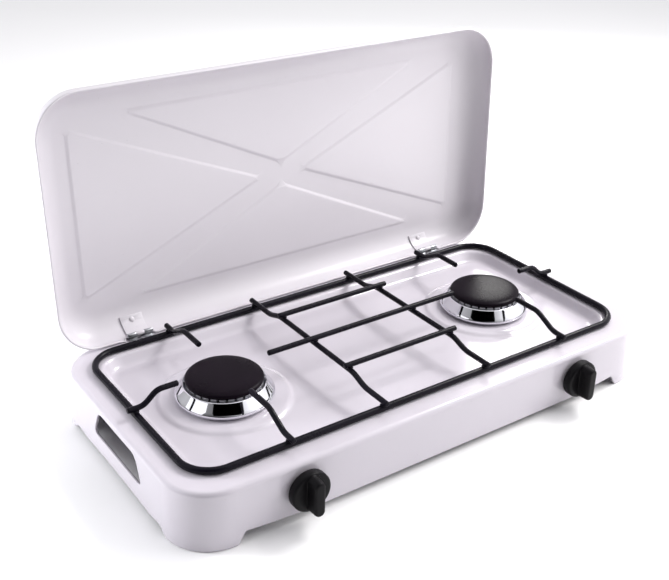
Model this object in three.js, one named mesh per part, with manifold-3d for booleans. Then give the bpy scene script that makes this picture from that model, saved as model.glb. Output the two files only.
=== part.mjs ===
import * as THREE from 'three';
import { mergeVertices } from 'three/addons/utils/BufferGeometryUtils.js';
import Module from 'manifold-3d';

// Two-burner gas camping stove with a folding lid. Millimetres, +Z up.
// X runs along the stove (right positive), Y runs from the knobs (negative) to the hinge (positive).
// Z = 0 is the plane of the four feet.

const wasm = await Module();
wasm.setup();

// ---------------------------------------------------------------- driving dimensions
const GAP = 0.3;
const SHEET = 1.0;

const CASE_HALF_L = 250.5;
const CASE_HALF_D = 125.6;
const CASE_CORNER = 41;
const CASE_FLARE = 0.03;
const CASE_TOP = 53.1;
const CASE_EDGE_R = 4.5;
const SKIRT_LIFT = 5.2;
const NOTCH_TOP = 10.6;
const FOOT_X = 207;
const FOOT_Y = 86;
const FOOT_FLANGE = 9;
const FOOT_PLATE = 1.4;

const BASIN_HALF_L = 226.5;
const BASIN_HALF_D = 99;
const BASIN_CORNER = 25;
const BASIN_FLOOR = 43.4;
const BOSS_R = 58;
const BOSS_RISE = 2.5;

const SLOT_Y = -3;
const SLOT_LOW = 21.2;
const SLOT_HIGH = 46.6;

const BURNER_X = 148;
const BURNER_Y = 0;
const NECK_R = 12.4;
const NECK_HOLE_R = 13;
const SCREW_OFFSET = 20;
const BOWL_R = 43.4;
const CAP_R = 33.9;
const CAP_TOP = 67.3;

const RING_HALF_L = 231;
const RING_HALF_D = 103.4;
const RING_CORNER = 28;
const RING_ROD_R = 3;
const ROD_R = 2.5;
const CROSS_X = 56;
const CROSS_LIFT = 5.9;
const FINGER_REACH = 44;

const LID_HALF_L = 247.5;
const LID_DEPTH = 238;
const LID_REAR = 121.5;
const LID_BASE = 53.4;
const LID_LIP = 4;
const LID_ARC = 24;
const LID_CORNER = 41;
const LID_OPEN = 92;
const EMBOSS = 1.5;

const PIN_Y = 117.6;
const PIN_Z = 57.8;
const HINGE_X = 171;
const HINGE_W = 24;
const BARREL_R = 2.0;
const PIN_R = 0.85;

const KNOB_X = 148.5;
const KNOB_Z = 30.4;
const KNOB_R = 17.6;
const KNOB_BACK = -129.2;
const KNOB_FACE = -137;
const KNOB_TIP = -148.5;

const RAIL_Z = 13.5;
const RAIL_Y = -102;
const RAIL_R = 5;
const RAIL_REAR_X = 205;

// ---------------------------------------------------------------- joining and cutting
function solid(geometry) {
  const g = geometry.clone();
  g.deleteAttribute('normal');
  g.deleteAttribute('uv');
  const m = mergeVertices(g, 1e-4);
  const mesh = new wasm.Mesh({
    numProp: 3,
    vertProperties: new Float32Array(m.attributes.position.array),
    triVerts: new Uint32Array(m.index.array),
  });
  return new wasm.Manifold(mesh);
}

function geometryOf(manifold) {
  const mesh = manifold.getMesh();
  const g = new THREE.BufferGeometry();
  g.setAttribute('position', new THREE.BufferAttribute(new Float32Array(mesh.vertProperties), 3));
  g.setIndex(new THREE.BufferAttribute(new Uint32Array(mesh.triVerts), 1));
  return g;
}

function join(first, ...rest) {
  return rest.reduce((sum, s) => sum.add(s), first);
}

function cut(first, ...rest) {
  return rest.reduce((left, s) => left.subtract(s), first);
}

// ---------------------------------------------------------------- shape helpers
function roundedOutline(halfL, halfD, radius, segments = 6) {
  const points = [];
  const centres = [
    [halfL - radius, halfD - radius, 0],
    [-halfL + radius, halfD - radius, 90],
    [-halfL + radius, -halfD + radius, 180],
    [halfL - radius, -halfD + radius, 270],
  ];
  for (const [cx, cy, start] of centres) {
    for (let i = 0; i <= segments; i += 1) {
      const a = THREE.MathUtils.degToRad(start + (90 * i) / segments);
      points.push([cx + radius * Math.cos(a), cy + radius * Math.sin(a)]);
    }
  }
  return points;
}

// Joins a stack of outlines that all have the same number of points.
// Each level is { outline, z }; a looped stack closes on itself, an open one gets end caps.
function loft(levels, looped = false) {
  const count = levels[0].outline.length;
  const position = [];
  const index = [];
  for (const level of levels) {
    for (const [x, y] of level.outline) {
      position.push(x, y, level.z);
    }
  }
  const spans = looped ? levels.length : levels.length - 1;
  for (let k = 0; k < spans; k += 1) {
    const a = k * count;
    const b = ((k + 1) % levels.length) * count;
    for (let i = 0; i < count; i += 1) {
      const j = (i + 1) % count;
      index.push(a + i, a + j, b + j);
      index.push(a + i, b + j, b + i);
    }
  }
  if (!looped) {
    const top = (levels.length - 1) * count;
    const contour = levels[0].outline.map(([x, y]) => new THREE.Vector2(x, y));
    const faces = THREE.ShapeUtils.triangulateShape(contour, []);
    for (const [p, q, r] of faces) {
      index.push(p, r, q);
      index.push(top + p, top + q, top + r);
    }
  }
  const g = new THREE.BufferGeometry();
  g.setAttribute('position', new THREE.Float32BufferAttribute(position, 3));
  g.setIndex(index);
  return g;
}

function panLevel(halfL, halfD, radius, z) {
  return { outline: roundedOutline(halfL, halfD, radius), z };
}

function cylinderZ(radius, z0, z1, x, y, segments = 24) {
  const g = new THREE.CylinderGeometry(radius, radius, z1 - z0, segments);
  g.rotateX(Math.PI / 2);
  g.translate(x, y, (z0 + z1) / 2);
  return g;
}

function cylinderY(radius, y0, y1, x, z, segments = 24) {
  const g = new THREE.CylinderGeometry(radius, radius, y1 - y0, segments);
  g.translate(x, (y0 + y1) / 2, z);
  return g;
}

function cylinderX(radius, x0, x1, y, z, segments = 24) {
  const g = new THREE.CylinderGeometry(radius, radius, x1 - x0, segments);
  g.rotateZ(Math.PI / 2);
  g.translate((x0 + x1) / 2, y, z);
  return g;
}

function block(x0, x1, y0, y1, z0, z1) {
  const g = new THREE.BoxGeometry(x1 - x0, y1 - y0, z1 - z0);
  g.translate((x0 + x1) / 2, (y0 + y1) / 2, (z0 + z1) / 2);
  return g;
}

function latheZ(profile, x, y, segments = 32) {
  const g = new THREE.LatheGeometry(profile.map(([r, z]) => new THREE.Vector2(r, z)), segments);
  g.rotateX(Math.PI / 2);
  g.translate(x, y, 0);
  return g;
}

// Turned piece on an axis along Y; the profile gives radius and Y position.
function latheY(profile, x, z, segments = 24) {
  const g = new THREE.LatheGeometry(profile.map(([r, y]) => new THREE.Vector2(r, y)), segments);
  g.translate(x, 0, z);
  return g;
}

// Flat outline in the YZ plane pushed out along X.
function extrudeX(points, x0, x1) {
  const shape = new THREE.Shape(points.map(([y, z]) => new THREE.Vector2(y, z)));
  const g = new THREE.ExtrudeGeometry(shape, { depth: x1 - x0, bevelEnabled: false });
  g.applyMatrix4(new THREE.Matrix4().set(0, 0, 1, x0, 1, 0, 0, 0, 0, 1, 0, 0, 0, 0, 0, 1));
  return g;
}

// Flat outline in the XZ plane pushed out along Y.
function extrudeY(points, y0, y1) {
  const shape = new THREE.Shape(points.map(([x, z]) => new THREE.Vector2(x, z)));
  const g = new THREE.ExtrudeGeometry(shape, { depth: y1 - y0, bevelEnabled: false });
  g.applyMatrix4(new THREE.Matrix4().set(1, 0, 0, 0, 0, 0, -1, y1, 0, 1, 0, 0, 0, 0, 0, 1));
  return g;
}

function discShape(radius, sides) {
  const points = [];
  for (let i = 0; i < sides; i += 1) {
    const a = (2 * Math.PI * i) / sides;
    points.push(new THREE.Vector2(radius * Math.cos(a), radius * Math.sin(a)));
  }
  return new THREE.Shape(points);
}

// Line through the given corners with each inner corner rounded off.
class BentPath extends THREE.CurvePath {
  constructor(corners, bend) {
    super();
    const pts = corners.map((c) => new THREE.Vector3(...c));
    let from = pts[0];
    for (let i = 1; i < pts.length - 1; i += 1) {
      const before = pts[i].clone().add(pts[i - 1].clone().sub(pts[i]).setLength(bend));
      const after = pts[i].clone().add(pts[i + 1].clone().sub(pts[i]).setLength(bend));
      this.add(new THREE.LineCurve3(from, before));
      this.add(new THREE.QuadraticBezierCurve3(before, pts[i], after));
      from = after;
    }
    this.add(new THREE.LineCurve3(from, pts[pts.length - 1]));
  }
}

function bentRod(corners, bend, radius, steps, sides = 8) {
  const path = corners.length > 2 ? new BentPath(corners, bend) : new THREE.LineCurve3(
    new THREE.Vector3(...corners[0]),
    new THREE.Vector3(...corners[1]),
  );
  return new THREE.ExtrudeGeometry(discShape(radius, sides), {
    extrudePath: path,
    steps,
    bevelEnabled: false,
  });
}

// ---------------------------------------------------------------- materials and assembly
const FINISH = {
  enamel: { color: 0xe3dfe8, roughness: 0.25, metalness: 0.0 },
  blackEnamel: { color: 0x141318, roughness: 0.3, metalness: 0.0 },
  chrome: { color: 0xc9cbd2, roughness: 0.12, metalness: 1.0 },
  castAluminium: { color: 0x9b9da0, roughness: 0.6, metalness: 1.0 },
  darkAluminium: { color: 0x4a4a4c, roughness: 0.6, metalness: 1.0 },
  brass: { color: 0xb9974f, roughness: 0.4, metalness: 1.0 },
  steel: { color: 0x9a9ba0, roughness: 0.35, metalness: 1.0 },
  blackPlastic: { color: 0x17151a, roughness: 0.45, metalness: 0.0 },
};

const stove = new THREE.Group();
stove.name = 'camping_stove';

function add(name, geometry, finish) {
  const material = new THREE.MeshStandardMaterial(FINISH[finish]);
  const mesh = new THREE.Mesh(geometry, material);
  mesh.name = name;
  stove.add(mesh);
}

const SIDES = [['left', -1], ['right', 1]];

// ---------------------------------------------------------------- casing
function caseSize(z) {
  const flare = CASE_FLARE * (CASE_TOP - CASE_EDGE_R - z);
  return [CASE_HALF_L + Math.max(flare, 0), CASE_HALF_D + Math.max(flare, 0)];
}

function caseShell(inset, bottom, top) {
  const levels = [];
  const [l0, d0] = caseSize(bottom);
  const shoulder = top - CASE_EDGE_R + inset;
  const [l1, d1] = caseSize(CASE_TOP - CASE_EDGE_R);
  levels.push(panLevel(l0 - inset, d0 - inset, CASE_CORNER - inset, bottom));
  const arc = CASE_EDGE_R - inset;
  for (let i = 0; i <= 4; i += 1) {
    const a = (Math.PI / 2) * (i / 4);
    const back = inset + arc * (1 - Math.cos(a));
    levels.push(panLevel(l1 - back, d1 - back, CASE_CORNER - back, shoulder + arc * Math.sin(a)));
  }
  return solid(loft(levels));
}

function basinForm(grow) {
  const steps = [
    [12, 8, BASIN_FLOOR - grow],
    [9, 6, BASIN_FLOOR + 0.5 - grow],
    [6.5, 4, BASIN_FLOOR + 2.4 - grow],
    [3, 1.5, CASE_TOP - 2.2 - grow],
    [1.4, 0.6, CASE_TOP - 0.7 - grow],
    [0, 0, CASE_TOP - grow],
    [0, 0, CASE_TOP + 6],
  ];
  return solid(loft(steps.map(([inset, tighten, z]) => panLevel(
    BASIN_HALF_L - inset + grow,
    BASIN_HALF_D - inset + grow,
    BASIN_CORNER - tighten + grow,
    z,
  ))));
}

// Opening between two feet: a short step beside each foot, then a nearly straight skirt edge.
function skirtNotch(reach, low, high) {
  return [
    [-reach - 3, -2],
    [-reach, 3],
    [-reach + 5, high],
    [-reach + 24, high - 2.2],
    [-reach + 62, low + 0.4],
    [reach - 62, low + 0.4],
    [reach - 24, high - 2.2],
    [reach - 5, high],
    [reach, 3],
    [reach + 3, -2],
  ];
}

function sideSlot(grow) {
  const shape = [];
  const corners = [
    [SLOT_Y - 46.8 - grow, SLOT_LOW - grow, 9],
    [SLOT_Y + 46.8 + grow, SLOT_LOW - grow, 9],
    [SLOT_Y + 35.5 + grow, SLOT_HIGH + grow, 8],
    [SLOT_Y - 35.5 - grow, SLOT_HIGH + grow, 8],
  ];
  for (let i = 0; i < 4; i += 1) {
    const here = new THREE.Vector2(corners[i][0], corners[i][1]);
    const before = new THREE.Vector2(...corners[(i + 3) % 4]);
    const after = new THREE.Vector2(...corners[(i + 1) % 4]);
    const a = here.clone().add(before.sub(here).setLength(corners[i][2]));
    const b = here.clone().add(after.sub(here).setLength(corners[i][2]));
    for (let k = 0; k <= 4; k += 1) {
      const t = k / 4;
      const x = (1 - t) * (1 - t) * a.x + 2 * t * (1 - t) * here.x + t * t * b.x;
      const y = (1 - t) * (1 - t) * a.y + 2 * t * (1 - t) * here.y + t * t * b.y;
      shape.push([x, y]);
    }
  }
  return shape;
}

const outer = caseShell(0, 0, CASE_TOP);
const cavity = caseShell(SHEET, FOOT_PLATE, CASE_TOP - SHEET);
const [footL, footD] = caseSize(0);
const flangeHole = solid(loft([
  panLevel(footL - FOOT_FLANGE, footD - FOOT_FLANGE, CASE_CORNER - FOOT_FLANGE, -3),
  panLevel(footL - FOOT_FLANGE, footD - FOOT_FLANGE, CASE_CORNER - FOOT_FLANGE, FOOT_PLATE + 1),
]));
let casing = cut(outer, basinForm(0), cut(cavity, basinForm(SHEET)));
casing = cut(casing, cut(flangeHole, basinForm(SHEET)));

for (const [, side] of SIDES) {
  const x = side * BURNER_X;
  const bossTop = BASIN_FLOOR + BOSS_RISE;
  const boss = latheZ([[0, BASIN_FLOOR - SHEET / 2], [BOSS_R + 2.5, BASIN_FLOOR - SHEET / 2],
    [BOSS_R, BASIN_FLOOR + 1.2], [BOSS_R - 3.5, bossTop], [0, bossTop]], x, BURNER_Y, 36);
  const under = latheZ([[0, BASIN_FLOOR - SHEET - 1], [BOSS_R + 1, BASIN_FLOOR - SHEET - 1],
    [BOSS_R + 1, BASIN_FLOOR - SHEET], [BOSS_R - 4, bossTop - SHEET], [0, bossTop - SHEET]], x, BURNER_Y, 36);
  casing = cut(join(casing, solid(boss)), solid(under));
  casing = cut(casing, solid(cylinderZ(NECK_HOLE_R, 40, 60, x, BURNER_Y, 28)));
  for (const s of [-1, 1]) {
    casing = cut(casing, solid(cylinderZ(2.1, 40, 60, x + s * SCREW_OFFSET, BURNER_Y, 12)));
  }
  casing = cut(casing, solid(cylinderY(5.8, -140, -118, side * KNOB_X, KNOB_Z, 20)));
  casing = cut(casing, solid(cylinderZ(1.6, 48, 60, side * HINGE_X, PIN_Y - 6.8, 12)));
  const slotX = side > 0 ? [244, 262] : [-262, -244];
  casing = cut(casing, solid(extrudeX(sideSlot(0), slotX[0], slotX[1])));
}
const frontNotch = solid(extrudeY(skirtNotch(FOOT_X, SKIRT_LIFT, NOTCH_TOP), -140, 140));
const sideNotch = solid(extrudeX(skirtNotch(FOOT_Y, SKIRT_LIFT, SKIRT_LIFT + 1.2), -262, 262));
casing = cut(casing, frontNotch, sideNotch);
casing = cut(casing, solid(cylinderY(7, 118, 140, RAIL_REAR_X - 10, RAIL_Z, 20)));
add('casing', geometryOf(casing), 'enamel');

// ---------------------------------------------------------------- lid, shown open
// The lid is drawn closed and then swung back about the hinge pins.
const LID_MID = LID_REAR - LID_DEPTH / 2;
const lidSwing = new THREE.Matrix4()
  .makeTranslation(0, PIN_Y, PIN_Z)
  .multiply(new THREE.Matrix4().makeRotationX(THREE.MathUtils.degToRad(-LID_OPEN)))
  .multiply(new THREE.Matrix4().makeTranslation(0, -PIN_Y, -PIN_Z));

function lidForm(inset, base, extra) {
  const levels = [];
  const put = (back, z) => levels.push({
    outline: roundedOutline(
      LID_HALF_L - back,
      LID_DEPTH / 2 - back,
      Math.max(LID_CORNER - back * 0.8, 10),
      7,
    ).map(([x, y]) => [x, y + LID_MID]),
    z,
  });
  put(inset, base - extra);
  const arc = LID_ARC - inset;
  for (let i = 0; i <= 6; i += 1) {
    const a = (Math.PI / 2) * (i / 6);
    put(inset + arc * (1 - Math.cos(a)), LID_BASE + LID_LIP + arc * Math.sin(a));
  }
  return solid(loft(levels));
}

// Triangle with trimmed corners, narrowing with depth, pressed into the lid from outside.
function embossing(corners, grow, z0, z1, taper) {
  const mid = corners.reduce((m, c) => [m[0] + c[0] / 3, m[1] + c[1] / 3], [0, 0]);
  const outlineAt = (offset) => {
    const moved = corners.map(([x, y]) => {
      const v = new THREE.Vector2(x - mid[0], y - mid[1]);
      return v.setLength(v.length() + offset * 1.6).add(new THREE.Vector2(...mid));
    });
    const points = [];
    moved.forEach((here, i) => {
      const before = moved[(i + 2) % 3].clone().sub(here).setLength(9);
      const after = moved[(i + 1) % 3].clone().sub(here).setLength(9);
      const a = here.clone().add(before);
      const b = here.clone().add(after);
      const m = a.clone().add(b).multiplyScalar(0.25).add(here.clone().multiplyScalar(0.5));
      points.push([a.x, a.y], [m.x, m.y], [b.x, b.y]);
    });
    return points;
  };
  return solid(loft([
    { outline: outlineAt(grow - taper), z: z0 },
    { outline: outlineAt(grow), z: z1 },
  ]));
}

const lidTop = LID_BASE + LID_LIP + LID_ARC;
const triangles = [
  [[-212, LID_MID + 79], [-212, LID_MID - 79], [-24, LID_MID]],
  [[212, LID_MID - 79], [212, LID_MID + 79], [24, LID_MID]],
  [[-158, LID_MID - 87.5], [158, LID_MID - 87.5], [0, LID_MID - 11.5]],
  [[158, LID_MID + 87.5], [-158, LID_MID + 87.5], [0, LID_MID + 11.5]],
];
let lid = cut(lidForm(0, LID_BASE, 0), lidForm(SHEET, LID_BASE, 3));
for (const corners of triangles) {
  const pressed = embossing(corners, 0, lidTop - SHEET - EMBOSS, lidTop - SHEET / 2, 1.2);
  const hollow = embossing(corners, -0.6, lidTop - EMBOSS, lidTop + 0.5, 1.2);
  lid = cut(join(lid, pressed), hollow);
}

const rivetAngle = THREE.MathUtils.degToRad(52);
const arcY = LID_REAR - LID_ARC;
const arcZ = LID_BASE + LID_LIP;

// Turned piece whose axis leaves the centre of the lid's rear bend at the rivet's angle.
function radialPiece(profile, x, segments = 12) {
  const g = new THREE.LatheGeometry(profile.map(([r, d]) => new THREE.Vector2(r, d)), segments);
  g.rotateX(rivetAngle);
  g.translate(x, arcY, arcZ);
  return g;
}

for (const [, side] of SIDES) {
  const x = side * HINGE_X;
  const half = HINGE_W / 2 + 1.5;
  lid = cut(lid, solid(block(x - half, x + half, LID_REAR - 4, LID_REAR + 3, LID_BASE - 4, LID_BASE + 6.2)));
  lid = cut(lid, solid(radialPiece([[0, 18], [1.6, 18], [1.6, 30], [0, 30]], x)));
}
// The rear rim is trimmed to the arc it swings through, so that it clears the top of the case.
const swingRoom = cut(
  solid(block(-LID_HALF_L, LID_HALF_L, PIN_Y, LID_REAR + 3, LID_BASE - 4, PIN_Z)),
  solid(cylinderX(PIN_Z - CASE_TOP - 0.2, -LID_HALF_L - 1, LID_HALF_L + 1, PIN_Y, PIN_Z, 40)),
);
const lidGeometry = geometryOf(cut(lid, swingRoom));
lidGeometry.applyMatrix4(lidSwing);
add('lid', lidGeometry, 'enamel');

// ---------------------------------------------------------------- hinges
function ringPoints(radius, from, to, steps) {
  const points = [];
  for (let i = 0; i <= steps; i += 1) {
    const a = THREE.MathUtils.degToRad(from + ((to - from) * i) / steps);
    points.push([arcY + radius * Math.cos(a), arcZ + radius * Math.sin(a)]);
  }
  return points;
}

for (const [name, side] of SIDES) {
  const x = side * HINGE_X;
  const half = HINGE_W / 2;
  const third = 4;
  const barrel = (x0, x1) => solid(cylinderX(BARREL_R, x0, x1, PIN_Y, PIN_Z, 18));
  const bore = solid(cylinderX(PIN_R + GAP, x - half - 1, x + half + 1, PIN_Y, PIN_Z, 14));

  const plate = block(x - half, x + half, 107.3, PIN_Y - 1, LID_BASE, LID_BASE + 1.1);
  const riser = (x0, x1) => solid(extrudeX([
    [PIN_Y - 2.6, LID_BASE],
    [PIN_Y + 0.9, LID_BASE],
    [PIN_Y + 1.6, PIN_Z - 0.6],
    [PIN_Y - 1.6, PIN_Z - 0.6],
  ], x0, x1));
  let body = join(
    solid(plate),
    barrel(x - half, x - third - GAP / 2),
    riser(x - half, x - third - GAP / 2),
    barrel(x + third + GAP / 2, x + half),
    riser(x + third + GAP / 2, x + half),
  );
  const bodyRivetY = PIN_Y - 6.8;
  body = cut(body, bore, solid(cylinderZ(1.6, 50, 60, x, bodyRivetY, 12)));
  add(`hinge_body_leaf_${name}`, geometryOf(body), 'steel');

  const strapOuter = LID_ARC - SHEET - GAP - 0.05;
  const strapInner = strapOuter - 1.0;
  const strap = [
    ...ringPoints(strapOuter, 8, 64, 6),
    ...ringPoints(strapInner, 64, 8, 6),
  ];
  const web = [
    [PIN_Y - 1.2, PIN_Z + 1.2],
    [PIN_Y + 1.5, PIN_Z + 0.8],
    ...ringPoints(strapOuter, 8, 10, 1),
    ...ringPoints(strapInner, 12, 8, 1),
  ];
  let leaf = join(
    solid(extrudeX(strap, x - half + 1, x + half - 1)),
    barrel(x - third + GAP / 2, x + third - GAP / 2),
    solid(extrudeX(web, x - third + GAP / 2, x + third - GAP / 2)),
  );
  leaf = cut(leaf, bore, solid(radialPiece([[0, 18], [1.6, 18], [1.6, 30], [0, 30]], x)));
  const leafGeometry = geometryOf(leaf);
  leafGeometry.applyMatrix4(lidSwing);
  add(`hinge_lid_leaf_${name}`, leafGeometry, 'steel');

  add(`hinge_pin_${name}`, cylinderX(PIN_R, x - half - 1, x + half + 1, PIN_Y, PIN_Z, 14), 'steel');

  const bodyRivet = latheZ([
    [0, CASE_TOP - SHEET - 1.6], [2.4, CASE_TOP - SHEET - 1.6], [2.4, CASE_TOP - SHEET - GAP],
    [1.3, CASE_TOP - SHEET - GAP], [1.3, LID_BASE + 1.1 + GAP], [2.6, LID_BASE + 1.1 + GAP],
    [2.0, LID_BASE + 2.4], [0, LID_BASE + 2.7],
  ], x, bodyRivetY, 10);
  add(`hinge_body_rivet_${name}`, bodyRivet, 'steel');

  const lidRivet = radialPiece([
    [0, strapInner - 1.5], [1.9, strapInner - 1.2], [2.6, strapInner - GAP - 0.2],
    [1.3, strapInner - GAP - 0.2], [1.3, LID_ARC + GAP], [2.8, LID_ARC + GAP],
    [2.2, LID_ARC + 1.3], [0, LID_ARC + 1.6],
  ], x, 10);
  lidRivet.applyMatrix4(lidSwing);
  add(`hinge_lid_rivet_${name}`, lidRivet, 'steel');
}

// ---------------------------------------------------------------- pan support grid
const RING_Z = CASE_TOP + GAP + RING_ROD_R;
const crossLow = RING_Z + RING_ROD_R + GAP + ROD_R;
const crossHigh = crossLow + CROSS_LIFT;
const topRodZ = crossHigh + 2 * ROD_R + GAP;
const fingerHigh = topRodZ;

const ringLevels = [];
for (let i = 0; i < 10; i += 1) {
  const a = (2 * Math.PI * i) / 10;
  const out = RING_ROD_R * Math.cos(a);
  ringLevels.push({
    outline: roundedOutline(RING_HALF_L + out, RING_HALF_D + out, RING_CORNER + out, 7),
    z: RING_Z + RING_ROD_R * Math.sin(a),
  });
}
const ringGeometry = loft(ringLevels, true);
add('grid_ring', ringGeometry, 'blackEnamel');

for (const [name, side] of SIDES) {
  const x = side * CROSS_X;
  const rod = bentRod([
    [x, -108.5, crossLow],
    [x, -77, crossLow],
    [x, -60, crossHigh],
    [x, 58, crossHigh],
    [x, 75, crossLow],
    [x, 110.5, crossLow],
  ], 5, ROD_R, 24);
  add(`grid_cross_rod_${name}`, rod, 'blackEnamel');
}
add('grid_middle_rod', bentRod([[-105, -1, topRodZ], [105, -1, topRodZ]], 0, ROD_R, 1), 'blackEnamel');
add('grid_short_rod_rear', bentRod([[-62, 51, topRodZ], [62, 51, topRodZ]], 0, ROD_R, 1), 'blackEnamel');
add('grid_short_rod_front', bentRod([[-62, -55, topRodZ], [62, -55, topRodZ]], 0, ROD_R, 1), 'blackEnamel');

for (const [name, side] of SIDES) {
  const end = side * (BURNER_X + FINGER_REACH);
  const outerFinger = bentRod([
    [end, -1, fingerHigh],
    [side * 211, -1, fingerHigh],
    [side * 224, -1, crossLow],
    [side * 238.5, -1, crossLow],
  ], 5, ROD_R, 14);
  add(`grid_finger_${name}_side`, outerFinger, 'blackEnamel');
  for (const [place, y] of [['front', -1], ['rear', 1]]) {
    const x = side * BURNER_X;
    const finger = bentRod([
      [x, y * FINGER_REACH, fingerHigh],
      [x, y * 73, fingerHigh],
      [x, y * 95, crossLow],
      [x, y * 110, crossLow],
    ], 5, ROD_R, 14);
    add(`grid_finger_${name}_${place}`, finger, 'blackEnamel');
  }
}

// ---------------------------------------------------------------- burners
for (const [name, side] of SIDES) {
  const x = side * BURNER_X;
  const seat = BASIN_FLOOR + BOSS_RISE + GAP;

  let bowl = solid(latheZ([
    [NECK_HOLE_R, seat], [39.2, seat], [42.6, 48.4], [BOWL_R, 50.3], [42.9, 51.6],
    [36.0, 60.2], [35.2, 59.8], [42.2, 50.6], [41.7, 49.0],
    [38.7, seat + 0.9], [NECK_HOLE_R, seat + 0.9], [NECK_HOLE_R, seat],
  ], x, BURNER_Y, 36));
  const floorTop = seat + 0.9 + GAP;
  let crown = solid(latheZ([
    [NECK_HOLE_R, floorTop], [33.4, floorTop], [33.4, 61.6], [30, 61.6], [30, floorTop + 2],
    [NECK_HOLE_R, floorTop + 2], [NECK_HOLE_R, floorTop],
  ], x, BURNER_Y, 36));
  const slots = 28;
  const toothGap = [];
  for (let i = 0; i < slots / 2; i += 1) {
    const bar = new THREE.BoxGeometry(80, 1.9, 4);
    bar.translate(0, 0, 60.6);
    bar.rotateZ((Math.PI * (i + 0.5)) / (slots / 2));
    bar.translate(x, BURNER_Y, 0);
    toothGap.push(solid(bar));
  }
  crown = cut(crown, ...toothGap);
  for (const s of [-1, 1]) {
    const hole = solid(cylinderZ(2.1, 44, 54, x + s * SCREW_OFFSET, BURNER_Y, 12));
    bowl = cut(bowl, hole);
    crown = cut(crown, hole);
  }
  add(`burner_bowl_${name}`, geometryOf(bowl), 'chrome');
  add(`burner_crown_${name}`, geometryOf(crown), 'darkAluminium');

  const cap = latheZ([
    [0, CAP_TOP - 3.2], [27, CAP_TOP - 3.2], [27, 58.6], [29.6, 58.6], [29.6, 61.9],
    [32.6, 61.9], [CAP_R, 62.9], [CAP_R, 64.3], [31.2, 66.1], [27, 66.8], [0, CAP_TOP],
  ], x, BURNER_Y, 36);
  add(`burner_cap_${name}`, cap, 'blackEnamel');

  let casting = join(
    solid(latheZ([[0, 20.6], [11, 21.6], [NECK_R, 25], [NECK_R, 39.6], [26, 40.4], [26, 44.6],
      [NECK_R, 44.6], [NECK_R, 49.2], [0, 49.2]], x, BURNER_Y, 28)),
    solid(latheY([[0, -76], [11, -76], [11, -72], [8.6, -60], [8.6, -30], [10, BURNER_Y], [0, BURNER_Y]],
      x, KNOB_Z, 18)),
  );
  casting = cut(
    casting,
    solid(latheY([[0, -77], [9, -77], [9, -73], [6.6, -60], [6.6, -30], [8, BURNER_Y], [0, BURNER_Y]],
      x, KNOB_Z, 18)),
    solid(cylinderZ(9, 24, 51, x, BURNER_Y, 24)),
  );
  for (const s of [-1, 1]) {
    casting = cut(casting, solid(cylinderZ(2.1, 36, 52, x + s * SCREW_OFFSET, BURNER_Y, 12)));
  }
  add(`burner_casting_${name}`, geometryOf(casting), 'castAluminium');

  [['a', -1], ['b', 1]].forEach(([tag, s]) => {
    const head = floorTop + 2 + GAP;
    let screw = solid(latheZ([[0, 39], [1.5, 39], [1.8, 39.4], [1.8, head], [3.5, head], [3.5, head + 1.2],
      [2.6, head + 2], [0, head + 2.2]], x + s * SCREW_OFFSET, BURNER_Y, 10));
    const sx = x + s * SCREW_OFFSET;
    screw = cut(screw, solid(block(sx - 4, sx + 4, -0.45, 0.45, head + 1.2, head + 3)));
    add(`burner_screw_${name}_${tag}`, geometryOf(screw), 'steel');
  });
}

// ---------------------------------------------------------------- gas train
const panelOut = -caseSize(KNOB_Z)[1];
const panelIn = panelOut + SHEET;
const tapRear = -90;
const springSeat = -103.3;

const railCorners = [
  [-KNOB_X - 14, RAIL_Y, RAIL_Z],
  [RAIL_REAR_X - 10, RAIL_Y, RAIL_Z],
  [RAIL_REAR_X - 10, 119, RAIL_Z],
];
let rail = solid(bentRod(railCorners, 16, RAIL_R, 16, 12));
for (const [, side] of SIDES) {
  const x = side * KNOB_X;
  rail = join(rail, solid(cylinderZ(7, RAIL_Z, 21.5, x, RAIL_Y, 20)));
  rail = cut(rail, solid(cylinderZ(4.3, RAIL_Z + 3, 24, x, RAIL_Y, 16)));
}
add('gas_rail', geometryOf(rail), 'steel');

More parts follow.
